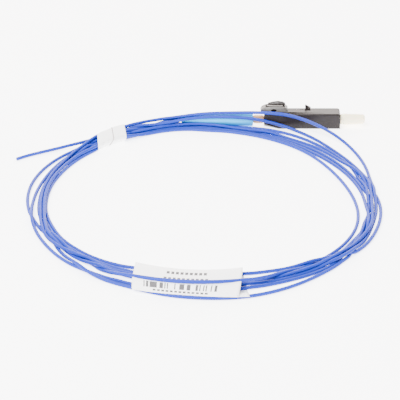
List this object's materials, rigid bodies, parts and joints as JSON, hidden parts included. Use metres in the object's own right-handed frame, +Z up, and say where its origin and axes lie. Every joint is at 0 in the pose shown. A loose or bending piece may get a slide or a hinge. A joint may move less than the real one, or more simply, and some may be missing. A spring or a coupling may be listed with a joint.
{
  "type": "fibre optic pigtail",
  "caption": "Small form factor fibre plug with latch, boot and dust cap on a loose tied coil of thin tight-buffered fibre with one bare end and a wrapped label.",
  "frame": {"origin": "on the table under the middle of the plug with its boot and dust cap, at the bottom centre of the box round those pieces", "axes": "+X along the plug from its boot to its dust cap, +Y from the coil towards the plug, +Z up from the table"},
  "size_m": [0.0959, 0.0938, 0.007],
  "materials": {
    "black_plastic": "black moulded plastic with a fine satin surface",
    "ferrule_ceramic": "polished white zirconia",
    "holder_metal": "turned metal, hidden in the plug",
    "beige_neck": "beige moulded plastic",
    "aqua_boot": "pale aqua soft boot, matte",
    "cream_cap": "cream soft plastic, slightly translucent",
    "blue_buffer": "blue buffer coating with a soft sheen",
    "tie_paper": "white wrapped tie, matte",
    "label_paper": null
  },
  "bodies": {
    "pigtail": {"connector_housing": "black_plastic", "trigger_hood": "black_plastic", "rear_neck": "beige_neck", "boot": "aqua_boot", "fibre_coil": "blue_buffer", "fibre_lead": "blue_buffer", "fibre_tail": "blue_buffer", "tie_wrap": "tie_paper", "label": "label_paper"},
    "latch": {"latch_arm": "black_plastic"},
    "trigger": {"trigger_tongue": "black_plastic"},
    "ferrule_float": {"ferrule": "ferrule_ceramic", "ferrule_holder": "holder_metal"},
    "cap": {"dust_cap": "cream_cap"}
  },
  "joints": [
    {"name": "trigger_press", "type": "hinge", "parent": "pigtail", "child": "trigger", "pos_m": [-0.0019, 0, 0.00602], "axis": [0, 1, 0], "range_deg": [0, 6], "stiffness_Nm_per_rad": 0.0001},
    {"name": "latch_flex", "type": "hinge", "parent": "pigtail", "child": "latch", "pos_m": [0.0136, 0, 0.0043], "axis": [0, -1, 0], "range_deg": [0, 2.4], "stiffness_Nm_per_rad": 0.0005},
    {"name": "ferrule_spring", "type": "slide", "parent": "pigtail", "child": "ferrule_float", "axis": [-1, 0, 0], "range_m": [0, 0.001], "stiffness_N_per_m": 2000},
    {"name": "cap_pull", "type": "slide", "parent": "pigtail", "child": "cap", "axis": [1, 0, 0], "range_m": [0, 0.012]}
  ],
  "couplings": [
    {"joint": "latch_flex", "follows": "trigger_press", "ratio": 0.4}
  ]
}
